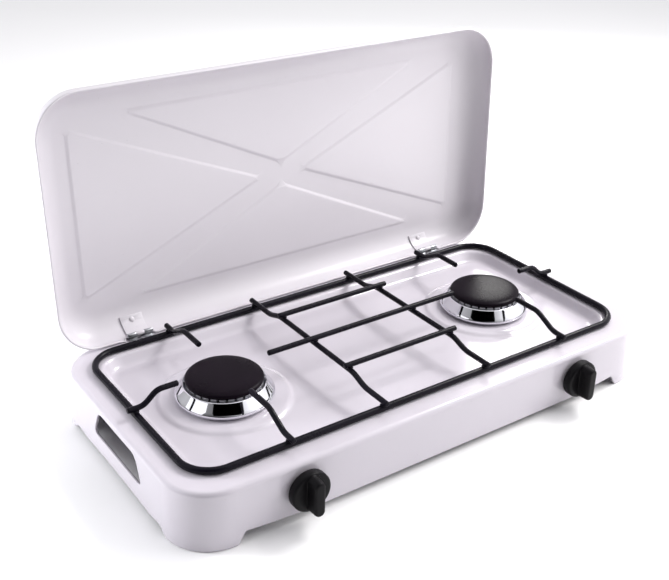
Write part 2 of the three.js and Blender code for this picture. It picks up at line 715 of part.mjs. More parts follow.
for (const [name, side] of SIDES) {
  const x = side * KNOB_X;
  const bonnetBack = panelIn + GAP + 1.2;
  let tap = join(
    solid(latheY([[0, tapRear], [7, tapRear], [8.5, tapRear - 3], [8.5, panelIn + GAP],
      [0, panelIn + GAP]].reverse(), x, KNOB_Z, 24)),
    solid(cylinderZ(4, RAIL_Z + 3 + GAP, KNOB_Z - 4, x, RAIL_Y, 16)),
    solid(cylinderZ(6.4, 21.8, KNOB_Z - 4, x, RAIL_Y, 6)),
  );
  tap = cut(
    tap,
    solid(cylinderY(4.9, -128.5, springSeat, x, KNOB_Z, 20)),
    solid(cylinderY(2.8, springSeat - 1, -98, x, KNOB_Z, 16)),
    solid(cylinderY(5.7, -128.5, bonnetBack + GAP, x, KNOB_Z, 24)),
    solid(cylinderY(3.4, -96, -88, x, KNOB_Z, 16)),
  );
  add(`gas_tap_${name}`, geometryOf(tap), 'brass');

  const bonnet = cut(
    solid(cylinderY(5.4, -131.6, bonnetBack, x, KNOB_Z, 24)),
    solid(cylinderY(4.9, -128.5, -110, x, KNOB_Z, 20)),
    solid(cylinderY(2.6, -135, -127, x, KNOB_Z, 16)),
  );
  add(`tap_bonnet_${name}`, geometryOf(bonnet), 'brass');

  const nut = cut(
    solid(cylinderY(9, panelOut - GAP - 2.4, panelOut - GAP, x, KNOB_Z, 6)),
    solid(cylinderY(5.7, -140, -120, x, KNOB_Z, 20)),
  );
  add(`tap_nut_${name}`, geometryOf(nut), 'steel');

  const jet = cut(
    join(
      solid(cylinderY(3.1, -95.5, -88, x, KNOB_Z, 16)),
      solid(cylinderY(5, tapRear + GAP, tapRear + 4.3, x, KNOB_Z, 6)),
      solid(latheY([[0, -86.5], [3, -86.5], [3, -82], [1.8, -80.5], [0, -80.5]], x, KNOB_Z, 16)),
    ),
    solid(cylinderY(0.6, -97, -79, x, KNOB_Z, 8)),
  );
  add(`gas_jet_${name}`, geometryOf(jet), 'brass');

  const spindle = join(
    solid(cylinderY(2.3, -143.5, -103.4, x, KNOB_Z, 16)),
    solid(cylinderY(1.4, -104, -101, x, KNOB_Z, 12)),
  );
  const flat = solid(block(x - 4, x + 4, -150, -135, KNOB_Z + 1.5, KNOB_Z + 5));
  add(`knob_spindle_${name}`, geometryOf(cut(spindle, flat)), 'steel');

  const collar = latheY([[2.6, -124.6], [4.6, -124.6], [4.6, -122.8], [2.6, -122.8], [2.6, -124.6]], x, KNOB_Z, 20);
  add(`spring_collar_${name}`, collar, 'brass');

  class Helix extends THREE.Curve {
    getPoint(t) {
      const a = t * 2 * Math.PI * 6;
      const y = -122.1 + t * 18.5;
      return new THREE.Vector3(x + 3.75 * Math.cos(a), y, KNOB_Z + 3.75 * Math.sin(a));
    }
  }
  const spring = new THREE.ExtrudeGeometry(discShape(0.4, 5), {
    extrudePath: new Helix(),
    steps: 60,
    bevelEnabled: false,
  });
  add(`return_spring_${name}`, spring, 'steel');

  const skirt = latheY([[0, KNOB_FACE - 0.4], [KNOB_R - 2.2, KNOB_FACE - 0.4], [KNOB_R - 0.6, KNOB_FACE],
    [KNOB_R, KNOB_FACE + 1.1], [KNOB_R, KNOB_BACK - 1], [KNOB_R - 0.8, KNOB_BACK], [0, KNOB_BACK]], x, KNOB_Z, 36);
  const gripShape = [];
  for (let i = 0; i <= 6; i += 1) {
    const a = Math.PI * (i / 6);
    gripShape.push([x + 4.9 * Math.cos(a), KNOB_Z + 11.2 + 4.9 * Math.sin(a)]);
  }
  for (let i = 0; i <= 6; i += 1) {
    const a = Math.PI * (1 + i / 6);
    gripShape.push([x + 4.9 * Math.cos(a), KNOB_Z - 11.2 + 4.9 * Math.sin(a)]);
  }
  const knob = cut(
    join(solid(skirt), solid(extrudeY(gripShape, KNOB_TIP, KNOB_FACE + 0.5))),
    solid(latheY([[0, -134.4], [13.2, -134.4], [13.8, KNOB_BACK + 1], [0, KNOB_BACK + 1]], x, KNOB_Z, 28)),
    solid(cylinderY(2.6, -144, -132, x, KNOB_Z, 16)),
  );
  add(`knob_${name}`, geometryOf(knob), 'blackPlastic');
}

// ---------------------------------------------------------------- hose connector
const wallOut = caseSize(RAIL_Z)[1];
const wallIn = wallOut - SHEET;
const noseX = RAIL_REAR_X - 10;
const connector = cut(
  solid(latheY([
    [0, 110], [8.6, 110], [8.6, wallIn - GAP], [6.6, wallIn - GAP], [6.6, 134], [5.6, 134],
    [5.6, 133.2], [4.4, 133.2], [4.4, 135], [5.4, 135.4], [4.2, 138], [4.2, 138.6], [5.4, 139], [4.2, 141.6], [4.2, 142.2],
    [5.4, 142.6], [4.0, 146.4], [0, 146.4],
  ], noseX, RAIL_Z, 18)),
  solid(cylinderY(RAIL_R + GAP, 108, 120, noseX, RAIL_Z, 20)),
  solid(cylinderY(2.8, 118, 150, noseX, RAIL_Z, 14)),
);
add('hose_connector', geometryOf(connector), 'brass');
const connectorNut = cut(
  solid(cylinderY(10.5, wallOut + GAP, wallOut + GAP + 4.5, noseX, RAIL_Z, 6)),
  solid(cylinderY(6.9, 120, 140, noseX, RAIL_Z, 20)),
);
add('connector_nut', geometryOf(connectorNut), 'steel');

export default stove;
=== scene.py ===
"""Two-burner camping stove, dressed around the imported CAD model. Shapes are written in millimetres."""
import math

import bmesh
import bpy
from mathutils import Matrix, Vector
from mathutils.geometry import delaunay_2d_cdt


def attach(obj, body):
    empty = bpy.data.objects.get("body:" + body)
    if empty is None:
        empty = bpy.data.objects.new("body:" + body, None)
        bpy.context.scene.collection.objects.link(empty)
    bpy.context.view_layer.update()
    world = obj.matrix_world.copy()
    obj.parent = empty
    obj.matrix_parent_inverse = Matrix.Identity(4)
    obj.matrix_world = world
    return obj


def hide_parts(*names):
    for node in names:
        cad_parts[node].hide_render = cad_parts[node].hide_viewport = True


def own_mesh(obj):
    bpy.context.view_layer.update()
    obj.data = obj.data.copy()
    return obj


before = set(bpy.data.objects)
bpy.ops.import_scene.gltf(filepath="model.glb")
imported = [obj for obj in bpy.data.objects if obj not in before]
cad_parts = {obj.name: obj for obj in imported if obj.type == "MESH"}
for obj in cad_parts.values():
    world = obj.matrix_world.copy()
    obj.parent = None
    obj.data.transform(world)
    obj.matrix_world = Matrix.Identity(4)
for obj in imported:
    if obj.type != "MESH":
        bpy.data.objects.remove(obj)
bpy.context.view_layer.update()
SIDES = (("left", -1), ("right", 1))

# ------------------------------------------------------------------ dimensions, in mm
MM = 0.001
SHEET, LID_SHEET = 1.0, 0.95
CASE_L, CASE_D, CASE_R = 250.5, 125.6, 41.0
CASE_TOP, CASE_EDGE, FLARE = 53.1, 4.5, 0.03
SHOULDER_Z = CASE_TOP - CASE_EDGE
BASIN_L, BASIN_D, BASIN_R, FLOOR_Z = 226.5, 99.0, 25.0, 43.4
SLOT_MID, SLOT_LOW, SLOT_HIGH = -3.0, 21.2, 46.6
SLOT_HALF_LOW, SLOT_HALF_HIGH = 46.8, 35.5
TAP_HOLE_R = 5.9
BURNER_X, BOSS_TOP = 148.0, 45.9
LID_L, LID_D, LID_R, LID_REAR = 247.5, 238.0, 41.0, 121.5
LID_BASE, LID_LIP, LID_ARC, LID_OPEN, EMBOSS = 53.4, 4.0, 24.0, 92.0, 1.25
LID_MID = LID_REAR - LID_D / 2
LID_TOP = LID_BASE + LID_LIP + LID_ARC
PIN_Y, PIN_Z, HINGE_X = 117.6, 57.8, 171.0
KNOB_X, KNOB_Z = 148.5, 30.4
SPRING_R, SPRING_WIRE, SPRING_TURNS = 3.75, 0.4, 6
SPRING_FRONT, SPRING_LENGTH = -122.1, 18.5
ROD_R, RING_R = 2.5, 3.0
GRID_L, GRID_D, CROSS_X, FINGER_END = 231.0, 103.4, 56.0, 44.0
FRONT_ROD_Y, MIDDLE_ROD_Y, REAR_ROD_Y = -55.0, -1.0, 51.0
RING_Z = CASE_TOP + 0.3 + RING_R
LOW_Z = RING_Z + RING_R + 0.3 + ROD_R
HIGH_Z = LOW_Z + 5.9
TOP_Z = HIGH_Z + 2 * ROD_R + 0.3
NOSE_X, NOSE_Z = 195.0, 13.5


# ------------------------------------------------------------------ materials
def nodes_of(mat):
    return mat.node_tree.nodes, mat.node_tree.links


def add_noise(mat, place, scale, detail):
    """Noise over a coordinate output."""
    nodes, links = nodes_of(mat)
    noise = nodes.new("ShaderNodeTexNoise")
    noise.inputs["Scale"].default_value = scale
    noise.inputs["Detail"].default_value = detail
    links.new(place, noise.inputs["Vector"])
    return noise.outputs["Fac"]


def surface(name, color, rough, metallic=0.0, vary=0.04, rough_vary=0.08, grain=60.0, bumps=(), **direct):
    """Principled surface whose colour and roughness drift over the piece.

    Each bump is (scale, depth in mm, detail).
    """
    mat = bpy.data.materials.new(name)
    mat.use_nodes = True
    nodes, links = nodes_of(mat)
    shader = nodes["Principled BSDF"]
    shader.inputs["Metallic"].default_value = metallic
    for socket, value in direct.items():
        shader.inputs[socket.replace("_", " ")].default_value = value
    coords = nodes.new("ShaderNodeTexCoord")
    broad = add_noise(mat, coords.outputs["Object"], grain * 0.22, 4.0)
    fine = add_noise(mat, coords.outputs["Object"], grain * 5.0, 3.0)
    ramp = nodes.new("ShaderNodeValToRGB")
    ramp.color_ramp.elements[0].position = 0.3
    ramp.color_ramp.elements[1].position = 0.7
    low = [max(0.0, c * (1 - vary)) for c in color]
    high = [min(1.0, c * (1 + vary)) for c in color]
    ramp.color_ramp.elements[0].color = (*low, 1)
    ramp.color_ramp.elements[1].color = (*high, 1)
    links.new(broad, ramp.inputs["Fac"])
    links.new(ramp.outputs["Color"], shader.inputs["Base Color"])
    mixed = nodes.new("ShaderNodeMath")
    mixed.operation = "MULTIPLY_ADD"
    mixed.inputs[1].default_value = 0.45
    links.new(fine, mixed.inputs[0])
    links.new(broad, mixed.inputs[2])
    spread = nodes.new("ShaderNodeMapRange")
    spread.inputs["From Min"].default_value = 0.45
    spread.inputs["From Max"].default_value = 1.0
    spread.inputs["To Min"].default_value = max(0.02, rough - rough_vary)
    spread.inputs["To Max"].default_value = min(1.0, rough + rough_vary)
    links.new(mixed.outputs["Value"], spread.inputs["Value"])
    links.new(spread.outputs["Result"], shader.inputs["Roughness"])
    before = None
    for scale, depth, detail in bumps:
        bump = nodes.new("ShaderNodeBump")
        bump.inputs["Strength"].default_value = 1.0
        bump.inputs["Distance"].default_value = depth * MM
        links.new(add_noise(mat, coords.outputs["Object"], scale, detail), bump.inputs["Height"])
        if before:
            links.new(before.outputs["Normal"], bump.inputs["Normal"])
        before = bump
    if before:
        links.new(before.outputs["Normal"], shader.inputs["Normal"])
    return mat


def add_specks(mat, scale, reach, color):
    """Small pits in the enamel, mixed over the base colour."""
    nodes, links = nodes_of(mat)
    shader = nodes["Principled BSDF"]
    source = shader.inputs["Base Color"].links[0].from_socket
    coords = next(n for n in nodes if n.type == "TEX_COORD")
    cells = nodes.new("ShaderNodeTexVoronoi")
    cells.inputs["Scale"].default_value = scale
    links.new(coords.outputs["Object"], cells.inputs["Vector"])
    dots = nodes.new("ShaderNodeMapRange")
    dots.inputs["From Min"].default_value = reach
    dots.inputs["From Max"].default_value = reach * 0.5
    dots.inputs["To Max"].default_value = 0.55
    links.new(cells.outputs["Distance"], dots.inputs["Value"])
    mix = nodes.new("ShaderNodeMix")
    mix.data_type = "RGBA"
    links.new(dots.outputs["Result"], mix.inputs["Factor"])
    links.new(source, mix.inputs["A"])
    mix.inputs["B"].default_value = (*color, 1)
    links.new(mix.outputs["Result"], shader.inputs["Base Color"])


def add_turning(mat, scale, depth, axis):
    """Fine tool marks or drawn lines across the given axis."""
    nodes, links = nodes_of(mat)
    shader = nodes["Principled BSDF"]
    coords = next(n for n in nodes if n.type == "TEX_COORD")
    stretch = nodes.new("ShaderNodeMapping")
    stretch.inputs["Scale"].default_value = [scale if i == axis else scale * 0.02 for i in range(3)]
    links.new(coords.outputs["Object"], stretch.inputs["Vector"])
    bump = nodes.new("ShaderNodeBump")
    bump.inputs["Distance"].default_value = depth * MM
    links.new(add_noise(mat, stretch.outputs["Vector"], 1.0, 2.0), bump.inputs["Height"])
    if shader.inputs["Normal"].links:
        links.new(shader.inputs["Normal"].links[0].from_socket, bump.inputs["Normal"])
    links.new(bump.outputs["Normal"], shader.inputs["Normal"])


PIT_COLOR = (0.34, 0.32, 0.34)
CASE_ENAMEL = surface("case_enamel", (0.585, 0.552, 0.606), 0.2, vary=0.015, rough_vary=0.05, grain=18,
                      bumps=((9, 0.5, 1), (150, 0.02, 2)), IOR=1.5, Coat_Weight=0.35, Coat_Roughness=0.06)
add_specks(CASE_ENAMEL, 85, 0.035, PIT_COLOR)
# The lid's roughness doesn't vary: at this low angle any variation shows as blotches.
# The lid's white is painted lighter than the case's same enamel: painted light on the lid, its hinge straps
# and rivets.
LID_ENAMEL_PAINTED_LIGHT = surface("lid_enamel_painted_light", (0.7, 0.67, 0.712), 0.3, vary=0.015, rough_vary=0.0, grain=18,
                     bumps=((9, 0.6, 1), (150, 0.02, 2)), IOR=1.5, Coat_Weight=0.25, Coat_Roughness=0.22)
add_specks(LID_ENAMEL_PAINTED_LIGHT, 85, 0.035, PIT_COLOR)
ROD_ENAMEL = surface("rod_enamel", (0.0055, 0.0045, 0.0085), 0.28, vary=0.3, rough_vary=0.09, grain=90,
                     bumps=((60, 0.25, 2), (420, 0.035, 2)), IOR=1.45, Specular_IOR_Level=0.15)
CAP_ENAMEL = surface("cap_enamel", (0.006, 0.0035, 0.0065), 0.3, vary=0.25, rough_vary=0.06, grain=80,
                     bumps=((55, 0.06, 2), (500, 0.015, 2)), IOR=1.45, Specular_IOR_Level=0.07)
CHROME = surface("bowl_chrome", (0.82, 0.82, 0.86), 0.05, 1.0, vary=0.02, rough_vary=0.02, grain=50,
                 bumps=((35, 0.03, 1), (600, 0.004, 2)))
CROWN_METAL = surface("crown_aluminium", (0.74, 0.74, 0.77), 0.42, 1.0, vary=0.12, rough_vary=0.1,
                      grain=150, bumps=((900, 0.03, 3),))
add_turning(CROWN_METAL, 2600, 0.02, 2)
CAST_METAL = surface("cast_aluminium", (0.42, 0.42, 0.43), 0.55, 1.0, vary=0.1, rough_vary=0.12, grain=120,
                     bumps=((300, 0.18, 4), (1300, 0.06, 2)))
BRASS = surface("turned_brass", (0.62, 0.44, 0.17), 0.27, 1.0, vary=0.12, rough_vary=0.1, grain=120,
                bumps=((700, 0.02, 2),))
add_turning(BRASS, 3200, 0.02, 1)
ZINC = surface("zinc_steel", (0.52, 0.53, 0.55), 0.32, 1.0, vary=0.12, rough_vary=0.12, grain=160,
               bumps=((500, 0.03, 3),))
add_turning(ZINC, 1500, 0.015, 0)
WIRE = surface("spring_wire", (0.5, 0.5, 0.53), 0.25, 1.0, vary=0.1, rough_vary=0.08, grain=260,
               bumps=((1500, 0.01, 2),))
KNOB_PLASTIC = surface("knob_plastic", (0.004, 0.0035, 0.0045), 0.4, vary=0.15, rough_vary=0.09, grain=130,
                       bumps=((1500, 0.035, 2), (90, 0.05, 1)), IOR=1.48, Specular_IOR_Level=0.12)


# ------------------------------------------------------------------ mesh helpers
def finish_piece(name, bm, material, body, nodes=(), swing=None, sharp=38.0):
    """Turns a bmesh in mm into a piece in metres that rides on a body and stands for its CAD nodes."""
    bm.verts.ensure_lookup_table()
    bmesh.ops.recalc_face_normals(bm, faces=bm.faces[:])
    mesh = bpy.data.meshes.new(name)
    bm.to_mesh(mesh)
    bm.free()
    if swing is not None:
        mesh.transform(swing)
    mesh.transform(Matrix.Scale(MM, 4))
    mesh.materials.append(material)
    mesh.polygons.foreach_set("use_smooth", [True] * len(mesh.polygons))
    mesh.set_sharp_from_angle(angle=math.radians(sharp))
    piece = bpy.data.objects.new(name, mesh)
    bpy.context.scene.collection.objects.link(piece)
    if nodes:
        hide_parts(*nodes)
    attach(piece, body)
    return piece


def ring_faces(bm, rings):
    """Quads between consecutive rings of vertices."""
    for a, b in zip(rings, rings[1:]):
        n = len(a)
        for i in range(n):
            j = (i + 1) % n
            bm.faces.new((a[i], a[j], b[j], b[i]))


def lathe(bm, profile, centre, axis="z", segments=96):
    """Turned shape. Profile points are (radius, height).

    The profile closes on itself unless it starts and ends on the axis.
    """
    cx, cy = centre
    rings = []
    for r, h in profile:
        ring = []
        steps = 1 if r == 0 else segments
        for i in range(steps):
            a = 2 * math.pi * i / segments
            u, v = r * math.cos(a), r * math.sin(a)
            ring.append(bm.verts.new((cx + u, cy + v, h) if axis == "z" else (cx + u, h, cy + v)))
        rings.append(ring)
    if profile[0][0] != 0:
        rings.append(rings[0])
    for a, b in zip(rings, rings[1:]):
        for i in range(segments):
            j = (i + 1) % segments
            if len(a) == 1:
                bm.faces.new((a[0], b[j], b[i]))
            elif len(b) == 1:
                bm.faces.new((a[i], a[j], b[0]))
            else:
                bm.faces.new((a[i], a[j], b[j], b[i]))


def bent_path(corners, bend, step=4.0):
    """Points along straight runs with each inner corner rounded off over the length bend."""
    pts = [Vector(c) for c in corners]
    path = [pts[0]]
    for i in range(1, len(pts) - 1):
        a = pts[i] + (pts[i - 1] - pts[i]).normalized() * bend
        b = pts[i] + (pts[i + 1] - pts[i]).normalized() * bend
        for k in range(9):
            t = k / 8
            path.append(a * (1 - t) ** 2 + pts[i] * 2 * t * (1 - t) + b * t ** 2)
    path.append(pts[-1])
    filled = [path[0]]
    for p in path[1:]:
        gap = (p - filled[-1]).length
        start = filled[-1]
        for k in range(1, int(gap // step) + 1):
            if k * step < gap - 0.3:
                filled.append(start + (p - start) * (k * step / gap))
        filled.append(p)
    return filled


def sweep(bm, path, radius, sides=20, closed=False, end=0.9):
    """Round rod along a path. Open ends are rounded over inside the rod's length."""
    n = len(path)
    tangents = []
    for i in range(n):
        if closed:
            tangents.append((path[(i + 1) % n] - path[i - 1]).normalized())
        else:
            tangents.append((path[min(i + 1, n - 1)] - path[max(i - 1, 0)]).normalized())
    side = tangents[0].cross(Vector((0, 0, 1)))
    if side.length < 0.1:
        side = tangents[0].cross(Vector((1, 0, 0)))
    side.normalize()
    stations = [(p, t, radius) for p, t in zip(path, tangents)]
    if not closed:
        caps = [(0.0, radius - end), (end * 0.12, radius - end * 0.5),
                (end * 0.45, radius - end * 0.13), (end, radius)]
        first = [(path[0] + tangents[0] * d, tangents[0], r) for d, r in caps]
        last = [(path[-1] - tangents[-1] * d, tangents[-1], r) for d, r in reversed(caps)]
        inner = [s for s in stations[1:-1]
                 if (s[0] - path[0]).length > end and (s[0] - path[-1]).length > end]
        stations = first + inner + last
    rings = []
    for p, t, r in stations:
        side = (side - t * side.dot(t)).normalized()
        up = t.cross(side)
        ring = []
        for k in range(sides):
            a = 2 * math.pi * k / sides
            ring.append(bm.verts.new(p + side * (r * math.cos(a)) + up * (r * math.sin(a))))
        rings.append(ring)
    if closed:
        rings.append(rings[0])
    ring_faces(bm, rings)
    if not closed:
        for ring in (rings[0], rings[-1]):
            bm.faces.new(ring)


def outline(half_l, half_d, radius, xs, ys, arc=14):
    """Rounded rectangle, counter-clockwise from the right side; xs and ys are shares of the straights."""
    sl, sd = half_l - radius, half_d - radius

    def corner(cx, cy, start):
        return [(cx + radius * math.cos(math.radians(start + 90 * i / arc)),
                 cy + radius * math.sin(math.radians(start + 90 * i / arc))) for i in range(arc + 1)]

    return (
        [(half_l, t * sd) for t in ys] + corner(sl, sd, 0)
        + [(t * sl, half_d) for t in reversed(xs)] + corner(-sl, sd, 90)
        + [(-half_l, t * sd) for t in reversed(ys)] + corner(-sl, -sd, 180)
        + [(t * sl, -half_d) for t in xs] + corner(sl, -sd, 270)
    )


def flat_patch(bm, loops, plane, extra=()):
    """Fills the plane between the first loop and the others; plane picks its two coordinates."""
    i, j = plane
    verts = [v for loop in loops for v in loop] + list(extra)
    edges, start = [], 0
    for loop in loops:
        n = len(loop)
        edges += [(start + k, start + (k + 1) % n) for k in range(n)]
        start += n
    flat = [Vector((v.co[i], v.co[j])) for v in verts]
    spots, _, faces, originals, _, _ = delaunay_2d_cdt(flat, edges, [], 1, 1e-6)
    holes = [[Vector((v.co[i], v.co[j])) for v in loop] for loop in loops[1:]]
    outer = [Vector((v.co[i], v.co[j])) for v in loops[0]]
    for face in faces:
        mid = sum((spots[k] for k in face), Vector((0, 0))) / 3
        if not inside(mid, outer) or any(inside(mid, hole) for hole in holes):
            continue
        bm.faces.new([verts[originals[k][0]] for k in face])


def inside(p, polygon):
    """Whether a point lies inside a closed outline."""
    odd = False
    for a, b in zip(polygon, polygon[1:] + polygon[:1]):
        if (a.y > p.y) != (b.y > p.y) and p.x < (b.x - a.x) * (p.y - a.y) / (b.y - a.y) + a.x:
            odd = not odd
    return odd


def boundary_of(bm, faces):
    """The loop of vertices round a block of faces, in order."""
    block = set(faces)
    edges = {}
    for f in faces:
        for loop in f.loops:
            if sum(g in block for g in loop.edge.link_faces) == 1:
                edges[loop.vert] = loop.link_loop_next.vert
    first = next(iter(edges))
    ring, here = [first], edges[first]
    while here is not first:
        ring.append(here)
        here = edges[here]
    return ring


def pierce(bm, block, hole, plane, lips):
    """Cuts a hole into a flat block of faces.

    The hole is a list of points on the face. Lips are (shrink, shift) rings that roll its edge inwards.
    """
    ring = boundary_of(bm, block)
    bmesh.ops.delete(bm, geom=block, context="FACES")
    for v in [v for v in bm.verts if not v.link_edges]:
        bm.verts.remove(v)
    rings = [[bm.verts.new(p) for p in hole]]
    flat_patch(bm, [ring, rings[0]], plane)
    centre = sum((Vector(p) for p in hole), Vector()) / len(hole)
    n = len(hole)
    for shrink, shift in lips:
        row = []
        for k, p in enumerate(hole):
            along = Vector(hole[(k + 1) % n]) - Vector(hole[k - 1])
            out = along.cross(shift.normalized()).normalized()
            if out.dot(Vector(p) - centre) > 0:
                out = -out
            row.append(bm.verts.new(Vector(p) + out * shrink + shift))
        rings.append(row)
    ring_faces(bm, rings)


def thicken(piece, thickness):
    """Sheet thickness added behind the visible skin."""
    mod = piece.modifiers.new("sheet", "SOLIDIFY")
    mod.thickness = thickness * MM
    mod.offset = -1.0
    mod.use_even_offset = True
    mod.use_quality_normals = True
    normals = piece.modifiers.new("normals", "WEIGHTED_NORMAL")
    normals.keep_sharp = True
    normals.weight = 60


def aim_normals(piece, point, direction):
    """Flips the whole skin if the face nearest to a point (mm) looks away from a direction."""
    mesh = piece.data
    spot = Vector(point) * MM
    face = min(mesh.polygons, key=lambda f: (f.center - spot).length)
    if face.normal.dot(Vector(direction)) < 0:
        mesh.flip_normals()


# ------------------------------------------------------------------ casing
FRONT_ARCH = ((0, 5.6), (145, 5.6), (183, 8.4), (202, 10.4), (204.5, 7.4), (207, 2.6), (208.7, 0.0))
SIDE_ARCH = ((0, 5.7), (24, 5.6), (62, 4.3), (79, 6.2), (82, 5.4), (85.5, 2.6), (88.5, 0.0))


def height_along(value, table):
    """Straight-line reading of a table of (place, height)."""
    for (a, za), (b, zb) in zip(table, table[1:]):
        if value <= b:
            return za + (zb - za) * max(0.0, (value - a) / (b - a))
    return table[-1][1]


def skirt_height(x, y):
    """Height of the case's lower edge: on the ground at the feet, lifted between them."""
    if abs(y) <= 100:
        return height_along(abs(y), SIDE_ARCH)
    low = height_along(abs(x), FRONT_ARCH)
    if y > 0 and abs(x - NOSE_X) < 7.0:
        low = max(low, min(19.4, NOSE_Z + math.sqrt(49 - (x - NOSE_X) ** 2)))
    return low


def flared(size, z):
    """Half size of the case wall at a height: it widens a little towards the ground."""
    return size + FLARE * (SHOULDER_Z - z)


def add_boss(bm, side):
    """Raised seat of one burner in the tray. Gives its outer ring."""
    profile = ((61.6, FLOOR_Z), (60.0, 43.52), (58.7, 44.0), (57.5, 44.75), (56.3, 45.4), (55.0, 45.78),
               (53.4, BOSS_TOP), (30.0, BOSS_TOP), (13.7, BOSS_TOP), (13.1, 45.7))
    rings = []
    for r, z in profile:
        ring = []
        for i in range(72):
            a = 2 * math.pi * i / 72
            ring.append(bm.verts.new((side * BURNER_X + r * math.cos(a), r * math.sin(a), z)))
        rings.append(ring)
    ring_faces(bm, rings)
    return rings[0]


def cut_hand_slot(bm, side):
    """Hand slot with a rolled edge in one end of the case."""
    block = []
    for f in bm.faces:
        mid = f.calc_center_median()
        if abs(mid.x - side * 250.7) < 1.4 and 19.5 < mid.z < 48.6 and -55.5 < mid.y < 49.5:
            block.append(f)
    corners = ((SLOT_MID - SLOT_HALF_LOW, SLOT_LOW, 10), (SLOT_MID + SLOT_HALF_LOW, SLOT_LOW, 10),
               (SLOT_MID + SLOT_HALF_HIGH, SLOT_HIGH, 8), (SLOT_MID - SLOT_HALF_HIGH, SLOT_HIGH, 8))
    slot = []
    for k, (y, z, trim) in enumerate(corners):
        here = Vector((y, z))
        before = Vector(corners[k - 1][:2])
        after = Vector(corners[(k + 1) % 4][:2])
        a = here + (before - here).normalized() * trim
        b = here + (after - here).normalized() * trim
        for i in range(9):
            t = i / 8
            p = a * (1 - t) ** 2 + here * 2 * t * (1 - t) + b * t ** 2
            slot.append((side * flared(CASE_L, p.y), p.x, p.y))
        far = b.lerp(after + (here - after).normalized() * corners[(k + 1) % 4][2], 0.5)
        slot.append((side * flared(CASE_L, far.y), far.x, far.y))
    inward = Vector((-side, 0, 0))
    roll = ((0.2, 0.12), (0.4, 0.45), (0.45, 0.9), (0.45, 2.2))
    lips = [(shrink, inward * depth) for shrink, depth in roll]
    pierce(bm, block, slot, (1, 2), lips)


def cut_tap_hole(bm, side):
    """Round hole in the front for one tap."""
    block = []
    for f in bm.faces:
        mid = f.calc_center_median()
        if abs(mid.y + 126.0) < 1.0 and 21 < mid.z < 40 and 137 < side * mid.x < 160:
            block.append(f)
    hole = []
    for i in range(32):
        a = 2 * math.pi * i / 32
        z = KNOB_Z + TAP_HOLE_R * math.sin(a)
        hole.append((side * KNOB_X + TAP_HOLE_R * math.cos(a), -flared(CASE_D, z), z))
    pierce(bm, block, hole, (0, 2), [(0.02, Vector((0, 0.1, 0)))])


def build_casing():
    bm = bmesh.new()
    half = [10, 30, 50, 70, 90, 110, 125, 137, 148.5, 160, 170, 183, 187.9, 188.2, 189.2, 191.5, 195, 198.5,
            200.8, 201.8, 202.1, 204.5, 207, 208.7]
    xs = [-x / 209.5 for x in reversed(half)] + [x / 209.5 for x in half]
    deep = [-83.5, -81, -76, -68, -60, -52, -40, -27, -14, -3.5, 7, 20, 33, 45, 53, 60, 68, 76, 81, 83.5]
    ys = [y / 84.6 for y in deep]
    base = outline(CASE_L, CASE_D, CASE_R, xs, ys)
    wider = outline(CASE_L + 1, CASE_D + 1, CASE_R, xs, ys)
    count = len(base)
    outward = []
    for k in range(count):
        a, b = Vector(base[k - 1]), Vector(base[(k + 1) % count])
        outward.append(Vector(((b - a).y, -(b - a).x)).normalized())
    skirt = []
    for (x0, y0), (x1, y1) in zip(base, wider):
        skirt.append(skirt_height(x0 + (x1 - x0) * 1.4, y0 + (y1 - y0) * 1.4))

    def wall(heights, insets):
        row = []
        for k in range(count):
            grow = FLARE * (SHOULDER_Z - heights[k])
            x = base[k][0] + (wider[k][0] - base[k][0]) * grow - outward[k].x * insets[k]
            y = base[k][1] + (wider[k][1] - base[k][1]) * grow - outward[k].y * insets[k]
            row.append(bm.verts.new((x, y, heights[k])))
        return row

    flange = [2.0 + 7.0 * max(0.0, min(1.0, 1 - z / 2.6)) for z in skirt]
    flush = [0.0] * count
    rows = [
        wall(skirt, flange),
        wall(skirt, [1.3] * count),
        wall([z + 0.35 for z in skirt], [0.4] * count),
        wall([z + 1.2 for z in skirt], flush),
        wall([z + 1.2 + (21 - z - 1.2) * 0.4 for z in skirt], flush),
        wall([21.0] * count, flush),
        wall([40.0] * count, flush),
        wall([SHOULDER_Z] * count, flush),
    ]
    for k in range(1, 9):
        a = math.pi / 2 * k / 8
        back = CASE_EDGE * (1 - math.cos(a))
        z = SHOULDER_Z + CASE_EDGE * math.sin(a)
        shape = outline(CASE_L - back, CASE_D - back, CASE_R - back, xs, ys)
        rows.append([bm.verts.new((x, y, z)) for x, y in shape])
    rim = ((-1.6, 53.1), (-0.4, 53.06), (0.4, 52.9), (1.2, 52.5), (2.0, 51.85), (2.8, 50.9), (4.4, 48.5),
           (6.0, 46.3), (7.2, 45.0), (8.6, 44.1), (10.2, 43.6), (12.0, FLOOR_Z))
    for inset, z in rim:
        shape = outline(BASIN_L - inset, BASIN_D - inset, BASIN_R - inset * 0.66, xs, ys)
        rows.append([bm.verts.new((x, y, z)) for x, y in shape])
    ring_faces(bm, rows)
    bosses = [add_boss(bm, side) for _, side in SIDES]
    spread = [bm.verts.new((x, y, FLOOR_Z)) for x in range(-80, 81, 20) for y in range(-80, 81, 20)]
    flat_patch(bm, [rows[-1]] + bosses, (0, 1), spread)
    bmesh.ops.recalc_face_normals(bm, faces=bm.faces[:])
    for cut in (cut_hand_slot, cut_tap_hole):
        for _, side in SIDES:
            cut(bm, side)
    piece = finish_piece("case_shell", bm, CASE_ENAMEL, "stove_body", ("casing",), sharp=60)
    aim_normals(piece, (0, 0, FLOOR_Z), (0, 0, 1))
    thicken(piece, SHEET)


